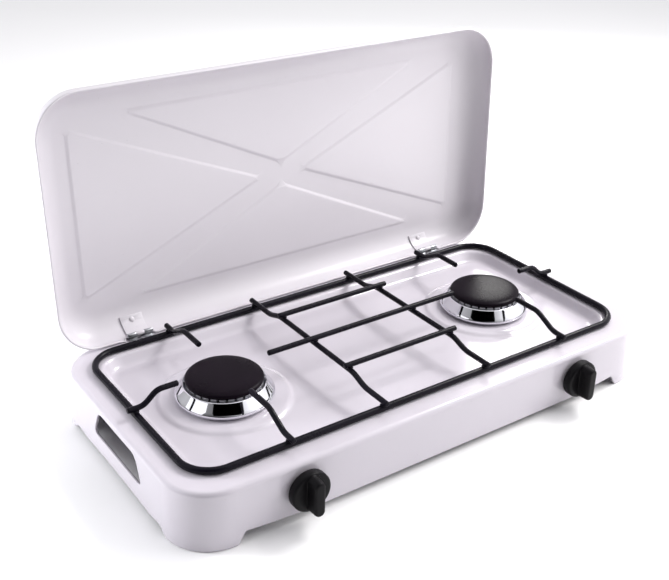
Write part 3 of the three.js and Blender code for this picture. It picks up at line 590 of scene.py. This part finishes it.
# ------------------------------------------------------------------ lid
CORNER_SOFT, SLOPE = 1.2, 3.8
FOLD_STEP, FOLD_ROWS, FOLD_ROOM = 4.5, (-2.0, -1.35, -0.75, -0.25, 0.25, 0.75, 1.35, 2.0), 3.4
SPREAD_X, SPREAD_Y = 4.0, 3.6
SAG = 0.16
TRIANGLES = (
    ((-212, LID_MID + 79), (-212, LID_MID - 79), (-24, LID_MID)),
    ((212, LID_MID - 79), (212, LID_MID + 79), (24, LID_MID)),
    ((-158, LID_MID - 87.5), (158, LID_MID - 87.5), (0, LID_MID - 11.5)),
    ((158, LID_MID + 87.5), (-158, LID_MID + 87.5), (0, LID_MID + 11.5)),
)


def triangle_share(x, y, corners):
    """How far a point is pressed in by a soft-edged triangle, from 0 to 1."""
    soft = 0.0
    for k in range(3):
        a, b, c = Vector(corners[k]), Vector(corners[(k + 1) % 3]), Vector(corners[(k + 2) % 3])
        along = (b - a).normalized()
        inward = Vector((-along.y, along.x))
        if inward.dot(c - a) < 0:
            inward = -inward
        soft += math.exp(-inward.dot(Vector((x, y)) - a) / CORNER_SOFT)
    depth = -CORNER_SOFT * math.log(soft)
    t = max(0.0, min(1.0, (depth + SLOPE / 2) / SLOPE))
    return t * t * (3 - 2 * t)


def distance_to(p, a, b):
    """From a point to the stretch between two others."""
    t = max(0.0, min(1.0, (p - a).dot(b - a) / (b - a).length_squared))
    return (p - a.lerp(b, t)).length


def panel_spots():
    """Points over the lid's panel: rows along each triangle's edges, and an even spread elsewhere."""
    spots, folds = [], []
    for t in TRIANGLES:
        for k in range(3):
            a, b = Vector(t[k]), Vector(t[(k + 1) % 3])
            along = (b - a).normalized()
            across = Vector((-along.y, along.x))
            folds.append((a, b))
            pieces = int((b - a).length / FOLD_STEP)
            for i in range(1, pieces):
                for off in FOLD_ROWS:
                    spots.append(a.lerp(b, i / pieces) + across * off)
    for i in range(-56, 57):
        for j in range(-26, 27):
            spot = Vector((i * SPREAD_X + (SPREAD_X / 2 if j % 2 else 0), LID_MID + j * SPREAD_Y))
            if min(distance_to(spot, a, b) for a, b in folds) > FOLD_ROOM:
                spots.append(spot)
    return spots


def panel_height(x, y):
    """Height of the lid's panel: pressed in by the triangles, with a slight wave."""
    press = max(triangle_share(x, y, t) for t in TRIANGLES)
    fade = max(0.0, min(1.0, (221.5 - abs(x)) / 30, (93 - abs(y - LID_MID)) / 30))
    sag = SAG * fade * (1.3 + math.sin(x * 0.021 + 0.6) * math.cos(y * 0.034 + 1.1))
    return LID_TOP - EMBOSS * press - sag


def build_lid():
    bm = bmesh.new()
    marks = [12, 30, 50, 70, 90, 110, 130, 148, 156.4, 157.5, 164, 171, 178, 184.5, 185.6, 193, 200]
    xs = [-x / 206.5 for x in reversed(marks)] + [x / 206.5 for x in marks]
    ys = [y / 78 for y in range(-72, 73, 12)]
    rear_room = PIN_Z - CASE_TOP - 0.2

    def corner(back):
        return max(LID_R - back * 0.8, 10)

    def back_at(z):
        rise = max(0.0, min(LID_ARC, z - LID_BASE - LID_LIP))
        return LID_ARC * (1 - math.cos(math.asin(rise / LID_ARC)))

    def rows_at(heights, insets):
        row = []
        for k in range(count):
            back = back_at(heights[k]) + insets[k]
            x, y = outline(LID_L - back, LID_D / 2 - back, corner(back), xs, ys)[k]
            row.append(bm.verts.new((x, y + LID_MID, heights[k])))
        return row

    edge = outline(LID_L, LID_D / 2, LID_R, xs, ys)
    count = len(edge)
    low, hem = [], []
    for x, y in edge:
        y += LID_MID
        z = LID_BASE
        if y > PIN_Y:
            z = max(z, PIN_Z - math.sqrt(max(0.0, rear_room ** 2 - (y - PIN_Y) ** 2)))
        notch = y > PIN_Y and abs(abs(x) - HINGE_X) < 14
        low.append(LID_BASE + 6.2 if notch else z)
        hem.append(0.0 if y > PIN_Y and abs(abs(x) - HINGE_X) < 14.8 else 1.0)
    rows = [
        rows_at([z + 3.0 * h + 0.1 for z, h in zip(low, hem)], [2.0 * h + 0.05 for h in hem]),
        rows_at([z + 1.1 * h + 0.1 for z, h in zip(low, hem)], [2.0 * h + 0.05 for h in hem]),
        rows_at([z + 0.35 * h + 0.02 for z, h in zip(low, hem)], [1.7 * h + 0.04 for h in hem]),
        rows_at(low, [1.05 * h + 0.03 for h in hem]),
        rows_at([z + 0.3 * h + 0.02 for z, h in zip(low, hem)], [0.32 * h + 0.01 for h in hem]),
        rows_at([z + 1.0 * h + 0.1 for z, h in zip(low, hem)], [0.0] * count),
    ]
    first = LID_BASE + LID_LIP + LID_ARC * math.sin(math.radians(18))
    for k in range(1, 5):
        rows.append(rows_at([z + 1.1 + (first - z - 1.1) * k / 4 for z in low], [0.0] * count))
    for k in range(1, 13):
        a = math.radians(18 + 72 * k / 12)
        back = LID_ARC * (1 - math.cos(a))
        z = LID_BASE + LID_LIP + LID_ARC * math.sin(a)
        shape = outline(LID_L - back, LID_D / 2 - back, corner(back), xs, ys)
        rows.append([bm.verts.new((x, y + LID_MID, z)) for x, y in shape])
    ring_faces(bm, rows)

    room = outline(LID_L - LID_ARC - 2, LID_D / 2 - LID_ARC - 2, corner(LID_ARC) - 1.6, xs, ys)
    room = [Vector(p) + Vector((0, LID_MID)) for p in room]
    spots = [spot for spot in panel_spots() if inside(Vector(spot), room)]
    flat_patch(bm, [rows[-1]], (0, 1), [bm.verts.new((x, y, panel_height(x, y))) for x, y in spots])
    swing = (Matrix.Translation((0, PIN_Y, PIN_Z)) @ Matrix.Rotation(math.radians(-LID_OPEN), 4, "X")
             @ Matrix.Translation((0, -PIN_Y, -PIN_Z)))
    piece = finish_piece("lid_shell", bm, LID_ENAMEL_PAINTED_LIGHT, "lid", ("lid",), swing, sharp=60)
    aim_normals(piece, swing @ Vector((0, LID_MID, LID_TOP)), (0, 1, 0))
    thicken(piece, LID_SHEET)


# ------------------------------------------------------------------ pan grid
def bead(bm, centre, size):
    """Small rounded weld between two rods."""
    made = bmesh.ops.create_icosphere(bm, subdivisions=3, radius=1.0)
    for v in made["verts"]:
        wob = 1 + 0.07 * math.sin(v.co.x * 5 + centre[0]) * math.cos(v.co.y * 4 + centre[1])
        v.co = Vector(centre) + Vector((v.co.x * size[0] * wob, v.co.y * size[1] * wob, v.co.z * size[2]))


def rod_piece(name, corners, bend=5.0):
    bm = bmesh.new()
    sweep(bm, bent_path(corners, bend), ROD_R)
    finish_piece(f"{name}_rod", bm, ROD_ENAMEL, "grid", (name,), sharp=75)


def build_grid():
    bm = bmesh.new()
    xs = [i / 20 for i in range(-19, 20)]
    ys = [i / 9 for i in range(-8, 9)]
    path = [Vector((x, y, RING_Z)) for x, y in outline(GRID_L, GRID_D, 28, xs, ys, arc=18)]
    sweep(bm, path, RING_R, sides=24, closed=True)
    finish_piece("grid_ring_rod", bm, ROD_ENAMEL, "grid", ("grid_ring",), sharp=75)
    welds = []
    for name, side in SIDES:
        x = side * CROSS_X
        rod_piece(f"grid_cross_rod_{name}", [
            (x, -108.5, LOW_Z), (x, -77, LOW_Z), (x, -60, HIGH_Z),
            (x, 58, HIGH_Z), (x, 75, LOW_Z), (x, 110.5, LOW_Z)])
        welds += [((x, s * GRID_D, LOW_Z - 2.6), (3.4, 3.0, 1.7)) for s in (-1, 1)]
        welds += [((x, y, HIGH_Z + 2.6), (2.9, 2.9, 1.6)) for y in (FRONT_ROD_Y, MIDDLE_ROD_Y, REAR_ROD_Y)]
        rod_piece(f"grid_finger_{name}_side", [
            (side * (BURNER_X + FINGER_END), MIDDLE_ROD_Y, TOP_Z), (side * 211, MIDDLE_ROD_Y, TOP_Z),
            (side * 224, MIDDLE_ROD_Y, LOW_Z), (side * 238.5, MIDDLE_ROD_Y, LOW_Z)])
        welds.append(((side * GRID_L, MIDDLE_ROD_Y, LOW_Z - 2.6), (3.0, 3.4, 1.7)))
        for place, s in (("front", -1), ("rear", 1)):
            bx = side * BURNER_X
            rod_piece(f"grid_finger_{name}_{place}", [
                (bx, s * FINGER_END, TOP_Z), (bx, s * 73, TOP_Z),
                (bx, s * 95, LOW_Z), (bx, s * 110, LOW_Z)])
            welds.append(((bx, s * GRID_D, LOW_Z - 2.6), (3.4, 3.0, 1.7)))
    rod_piece("grid_middle_rod", [(-105, MIDDLE_ROD_Y, TOP_Z), (105, MIDDLE_ROD_Y, TOP_Z)])
    rod_piece("grid_short_rod_rear", [(-62, REAR_ROD_Y, TOP_Z), (62, REAR_ROD_Y, TOP_Z)])
    rod_piece("grid_short_rod_front", [(-62, FRONT_ROD_Y, TOP_Z), (62, FRONT_ROD_Y, TOP_Z)])
    bm = bmesh.new()
    for centre, size in welds:
        bead(bm, centre, size)
    finish_piece("grid_welds", bm, ROD_ENAMEL, "grid", sharp=75)


# ------------------------------------------------------------------ burners
def build_burners():
    for name, side in SIDES:
        x = side * BURNER_X
        bm = bmesh.new()
        bowl = [(13.0, 46.2), (38.6, 46.2), (41.0, 46.9), (42.7, 48.3), (43.35, 49.6), (43.4, 50.6),
                (42.9, 51.7), (41.5, 53.4), (36.6, 59.4), (36.1, 60.0), (35.6, 60.1), (35.2, 59.7),
                (35.5, 59.1), (41.0, 52.2), (42.2, 50.6), (42.1, 49.4), (41.3, 48.4), (38.7, 47.1),
                (13.0, 47.1)]
        lathe(bm, bowl, (x, 0), segments=128)
        finish_piece(f"burner_{name}_reflector", bm, CHROME, "stove_body",
                     (f"burner_bowl_{name}",), sharp=50)

        bm = bmesh.new()
        build_crown(bm, x)
        crown = finish_piece(f"burner_{name}_flame_ring", bm, CROWN_METAL, "stove_body",
                             (f"burner_crown_{name}",), sharp=40)
        soften(crown, 0.22)

        bm = bmesh.new()
        cap = [(0, 64.1), (26.6, 64.1), (27, 63.7), (27, 58.9), (27.3, 58.6), (29.3, 58.6), (29.6, 58.9),
               (29.6, 61.6), (29.9, 61.9), (32.7, 61.9), (33.3, 62.05), (33.75, 62.5), (33.9, 63.1),
               (33.88, 63.9), (33.6, 64.6), (32.9, 65.3), (31.7, 65.9), (29.8, 66.35), (27, 66.7),
               (22, 66.95), (15, 67.14), (8, 67.26), (0, 67.3)]
        lathe(bm, cap, (x, 0), segments=128)
        finish_piece(f"burner_{name}_lid_disc", bm, CAP_ENAMEL, f"cap_{name}",
                     (f"burner_cap_{name}",), sharp=50)


def build_crown(bm, x):
    """Flame ring: a dished base with a wall whose top is cut into ports."""
    low, port, top = 47.4, 58.6, 61.6
    outer, inner, hub, ports, gap = 33.4, 30.0, 13.0, 28, 1.9
    pitch, half_gap = 360 / ports, math.degrees(gap / 2 / outer)
    angles, tooth = [], []
    for k in range(ports):
        angles += [pitch * k + half_gap + (pitch - 2 * half_gap) * i / 4 for i in range(5)]
        tooth += [True] * 4 + [False]
    n = len(angles)

    def ring(r, z):
        turns = [math.radians(a) for a in angles]
        return [bm.verts.new((x + r * math.cos(a), r * math.sin(a), z)) for a in turns]

    o_low, o_mid, o_port, o_top = ring(outer, low), ring(outer, 53), ring(outer, port), ring(outer, top)
    i_base, i_port, i_top = ring(inner, low + 2), ring(inner, port), ring(inner, top)
    hub_top, hub_low = ring(hub, low + 2), ring(hub, low)
    ring_faces(bm, [hub_low, o_low, o_mid, o_port])
    ring_faces(bm, [i_port, i_base, hub_top, hub_low])
    for k in range(n):
        j = (k + 1) % n
        if tooth[k]:
            bm.faces.new((o_port[k], o_port[j], o_top[j], o_top[k]))
            bm.faces.new((i_top[k], i_top[j], i_port[j], i_port[k]))
            bm.faces.new((o_top[k], o_top[j], i_top[j], i_top[k]))
            if not tooth[k - 1]:
                bm.faces.new((o_port[k], o_top[k], i_top[k], i_port[k]))
            if not tooth[j]:
                bm.faces.new((o_port[j], i_port[j], i_top[j], o_top[j]))
        else:
            bm.faces.new((o_port[k], o_port[j], i_port[j], i_port[k]))


def soften(piece, width, angle=35, harden=True):
    """Small rounds along a piece's edges."""
    bevel = piece.modifiers.new("edges", "BEVEL")
    bevel.width = width * MM
    bevel.segments = 2
    bevel.limit_method = "ANGLE"
    bevel.angle_limit = math.radians(angle)
    bevel.harden_normals = harden


# ------------------------------------------------------------------ knobs
def build_knobs():
    for name, side in SIDES:
        x = side * KNOB_X
        bm = bmesh.new()
        profile = [(2.6, -137.3), (13.0, -137.3), (15.6, -137.25), (16.6, -137.0), (17.2, -136.5),
                   (17.52, -135.8), (17.6, -135.0), (17.6, -130.4), (17.45, -129.7), (17.1, -129.3),
                   (16.6, -129.2), (14.4, -129.2), (13.9, -129.4), (13.7, -130.0), (13.3, -134.1),
                   (12.9, -134.4), (2.6, -134.4)]
        lathe(bm, profile, (x, KNOB_Z), axis="y", segments=96)
        rings = []
        grip = ((1.1, -137.0), (0.75, -137.45), (0.42, -138.2), (0.2, -140.0), (0.0, -143.5),
                (-0.2, -146.6), (-0.45, -147.6), (-0.95, -148.2), (-1.7, -148.47), (-2.6, -148.5))
        for grow, y in grip:
            ring = []
            half, r = 11.2, 4.9 + grow
            for i in range(17):
                a = math.pi * i / 16
                ring.append(bm.verts.new((x + r * math.cos(a), y, KNOB_Z + half + r * math.sin(a))))
            for i in range(17):
                a = math.pi + math.pi * i / 16
                ring.append(bm.verts.new((x + r * math.cos(a), y, KNOB_Z - half + r * math.sin(a))))
            rings.append(ring)
        ring_faces(bm, rings)
        bm.faces.new(rings[-1])
        bm.faces.new(rings[0])
        finish_piece(f"control_knob_{name}", bm, KNOB_PLASTIC, f"turn_{name}",
                     (f"knob_{name}",), sharp=45)


# ------------------------------------------------------------------ gas train and hinges
def build_springs():
    for name, side in SIDES:
        bm = bmesh.new()
        path = []
        steps = SPRING_TURNS * 24
        for i in range(steps + 1):
            t = i / steps
            a = t * 2 * math.pi * SPRING_TURNS
            path.append(Vector((side * KNOB_X + SPRING_R * math.cos(a), SPRING_FRONT + SPRING_LENGTH * t,
                                KNOB_Z + SPRING_R * math.sin(a))))
        sweep(bm, path, SPRING_WIRE, sides=10, end=0.15)
        spring = finish_piece(f"spring_coil_{name}", bm, WIRE, "stove_body",
                              (f"return_spring_{name}",), sharp=75)
        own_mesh(spring)


def build_connector():
    wall_in = flared(CASE_D, NOSE_Z) - SHEET
    bm = bmesh.new()
    profile = [(5.3, 110.2), (5.6, 110.0), (8.2, 110.0), (8.6, 110.4), (8.6, wall_in - 0.6),
               (8.3, wall_in - 0.3), (6.6, wall_in - 0.3), (6.6, 133.8), (6.4, 134.0), (5.6, 134.0),
               (5.6, 133.2), (4.4, 133.2), (4.4, 134.9), (5.3, 135.2), (5.4, 135.5), (4.25, 138.0),
               (4.2, 138.6), (5.3, 138.9), (5.4, 139.2), (4.25, 141.6), (4.2, 142.2), (5.3, 142.5),
               (5.4, 142.8), (4.3, 146.0), (3.9, 146.4), (3.2, 146.4), (2.8, 146.0), (2.8, 119.8),
               (5.3, 119.8)]
    lathe(bm, profile, (NOSE_X, NOSE_Z), axis="y", segments=72)
    finish_piece("hose_nozzle", bm, BRASS, "stove_body", ("hose_connector",), sharp=42)


def dress(node, material, bevel=0.0, angle=38):
    """Keeps a CAD node and gives it a material, softened edges and smooth rounds."""
    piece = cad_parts[node]
    piece.data.materials.clear()
    piece.data.materials.append(material)
    piece.data.polygons.foreach_set("use_smooth", [True] * len(piece.data.polygons))
    weld = piece.modifiers.new("weld", "WELD")
    weld.merge_threshold = 1e-6
    if bevel:
        soften(piece, bevel, 40, harden=False)
    split = piece.modifiers.new("split", "EDGE_SPLIT")
    split.split_angle = math.radians(angle)
    split.use_edge_sharp = False


def dress_nodes():
    dress("gas_rail", ZINC)
    dress("connector_nut", ZINC, 0.3)
    for name, _ in SIDES:
        dress(f"hinge_body_leaf_{name}", ZINC, 0.12)
        # Lid-side straps and rivets are white enamel, in the lid's colour that carries painted light.
        dress(f"hinge_lid_leaf_{name}", LID_ENAMEL_PAINTED_LIGHT, 0.12)
        dress(f"hinge_lid_rivet_{name}", LID_ENAMEL_PAINTED_LIGHT)
        for node in (f"hinge_pin_{name}", f"hinge_body_rivet_{name}", f"knob_spindle_{name}",
                     f"burner_screw_{name}_a", f"burner_screw_{name}_b"):
            dress(node, ZINC)
        dress(f"tap_nut_{name}", ZINC, 0.25)
        dress(f"burner_casting_{name}", CAST_METAL, 0.3)
        for node in (f"gas_tap_{name}", f"tap_bonnet_{name}", f"gas_jet_{name}", f"spring_collar_{name}"):
            dress(node, BRASS)


# ------------------------------------------------------------------ stage
SKY_LOW, SKY_RISE, SKY_SHADE, SKY_RIGHT = 0.4, 0.52, 1.0, 1.35
WARM, COOL = (1.0, 0.985, 0.97), (0.97, 0.98, 1.0)
CAMERA_PLACE, CAMERA_LENS = (-0.5062, -0.6663, 0.5363), 55.9
CAMERA_TURN, CAMERA_TILT, CAMERA_ROLL = -35.0, 27.3, 1.05


def flat_color(name, color, rough):
    return surface(name, color, rough, vary=0.01, rough_vary=0.03, grain=4)


def card(name, size, place, aim, color):
    """Studio card that only shows in reflections."""
    mesh = bpy.data.meshes.new(name)
    w, h = size[0] / 2, size[1] / 2
    mesh.from_pydata([(-w, -h, 0), (w, -h, 0), (w, h, 0), (-w, h, 0)], [], [(0, 1, 2, 3)])
    piece = bpy.data.objects.new(name, mesh)
    bpy.context.scene.collection.objects.link(piece)
    piece.location = place
    piece.rotation_mode = "QUATERNION"
    piece.rotation_quaternion = (Vector(aim) - Vector(place)).to_track_quat("Z", "Y")
    mat = bpy.data.materials.new(name)
    mat.use_nodes = True
    nodes, links = nodes_of(mat)
    nodes.remove(nodes["Principled BSDF"])
    glow = nodes.new("ShaderNodeEmission")
    glow.inputs["Color"].default_value = (*color, 1)
    links.new(glow.outputs["Emission"], nodes["Material Output"].inputs["Surface"])
    mesh.materials.append(mat)
    piece.visible_camera = False
    piece.visible_diffuse = False
    piece.visible_shadow = False
    piece.visible_transmission = False


def area_light(name, place, aim, size, power, color, glossy=True):
    data = bpy.data.lights.new(name, "AREA")
    data.shape = "RECTANGLE"
    data.size, data.size_y = size
    data.energy = power
    data.color = color
    lamp = bpy.data.objects.new(name, data)
    bpy.context.scene.collection.objects.link(lamp)
    lamp.location = place
    lamp.rotation_mode = "QUATERNION"
    lamp.rotation_quaternion = (Vector(aim) - Vector(place)).to_track_quat("-Z", "Y")
    lamp.visible_glossy = glossy


def build_stage():
    mesh = bpy.data.meshes.new("floor")
    corners = [(-6, -6, -0.0002), (6, -6, -0.0002), (6, 6, -0.0002), (-6, 6, -0.0002)]
    mesh.from_pydata(corners, [], [(0, 1, 2, 3)])
    floor = bpy.data.objects.new("floor", mesh)
    bpy.context.scene.collection.objects.link(floor)
    mesh.materials.append(flat_color("floor_paper", (0.93, 0.93, 0.935), 0.9))
    build_world()
    area_light("key", (0.95, -0.02, 1.1), (0.05, 0.0, 0.06), (0.42, 0.42), 12, WARM)
    area_light("rim", (0.9, 0.85, 0.62), (0.15, 0.0, 0.06), (0.35, 0.35), 3.0, WARM)
    card("overhead", (1.0, 0.66), (-0.36, -0.56, 0.8), (-0.06, -0.02, 0.0), (0.0, 0.0, 0.0))
    card("left_sheet", (0.8, 0.6), (-1.05, 0.2, 0.62), (-0.1, 0.0, 0.05), (1.3, 1.3, 1.35))
    area_light("front_right", (0.8, -0.5, 0.75), (0.1, 0.1, 0.1), (0.8, 0.7), 6.5, WARM, glossy=False)
    area_light("rear_left", (-1.0, 0.62, 0.32), (-0.25, 0.0, 0.03), (0.35, 0.3), 12, COOL, glossy=False)


def build_world():
    """Soft studio surround: brightest overhead, dim towards the front left."""
    world = bpy.data.worlds.new("studio")
    world.use_nodes = True
    nodes, links = world.node_tree.nodes, world.node_tree.links

    def maths(operation, a, b, clamp=False):
        node = nodes.new("ShaderNodeMath")
        node.operation = operation
        node.use_clamp = clamp
        for socket, value in zip(node.inputs, (a, b)):
            if isinstance(value, float):
                socket.default_value = value
            else:
                links.new(value, socket)
        return node.outputs["Value"]

    coords = nodes.new("ShaderNodeTexCoord")
    parts = nodes.new("ShaderNodeSeparateXYZ")
    links.new(coords.outputs["Generated"], parts.inputs["Vector"])
    rise = maths("POWER", maths("MAXIMUM", parts.outputs["Z"], 0.0), 0.8)
    level = maths("ADD", maths("MULTIPLY", rise, SKY_RISE), SKY_LOW)
    left = maths("MULTIPLY", maths("ADD", parts.outputs["X"], parts.outputs["Y"]), -0.707)
    shade = maths("SUBTRACT", 1.0, maths("MULTIPLY", maths("MAXIMUM", left, 0.0), SKY_SHADE), clamp=True)
    across = maths("MULTIPLY", parts.outputs["X"], 0.78)
    side = maths("ADD", across, maths("MULTIPLY", parts.outputs["Y"], -0.62))
    lift = maths("ADD", 1.0, maths("MULTIPLY", maths("MAXIMUM", side, 0.0), SKY_RIGHT))
    strength = maths("MULTIPLY", maths("MULTIPLY", level, shade), lift)
    links.new(strength, nodes["Background"].inputs["Strength"])
    nodes["Background"].inputs["Color"].default_value = (0.98, 0.975, 1.0, 1)
    bpy.context.scene.world = world


def build_camera():
    data = bpy.data.cameras.new("camera")
    data.lens = CAMERA_LENS
    data.sensor_width = 36.0
    data.shift_x = 0.0064
    data.clip_start, data.clip_end = 0.05, 30
    camera = bpy.data.objects.new("camera", data)
    bpy.context.scene.collection.objects.link(camera)
    a, e, roll = math.radians(CAMERA_TURN), math.radians(CAMERA_TILT), math.radians(CAMERA_ROLL)
    back = Vector((math.sin(a) * math.cos(e), -math.cos(a) * math.cos(e), math.sin(e)))
    right = (-back).cross(Vector((0, 0, 1))).normalized()
    up = right.cross(-back)
    x_axis = right * math.cos(roll) + up * math.sin(roll)
    y_axis = -right * math.sin(roll) + up * math.cos(roll)
    turn = Matrix((x_axis, y_axis, back)).transposed().to_4x4()
    camera.matrix_world = Matrix.Translation(CAMERA_PLACE) @ turn
    bpy.context.scene.camera = camera


build_camera()
build_stage()
build_casing()
build_lid()
build_grid()
build_burners()
build_knobs()
build_springs()
build_connector()
dress_nodes()
bpy.context.scene.view_settings.view_transform = "Standard"
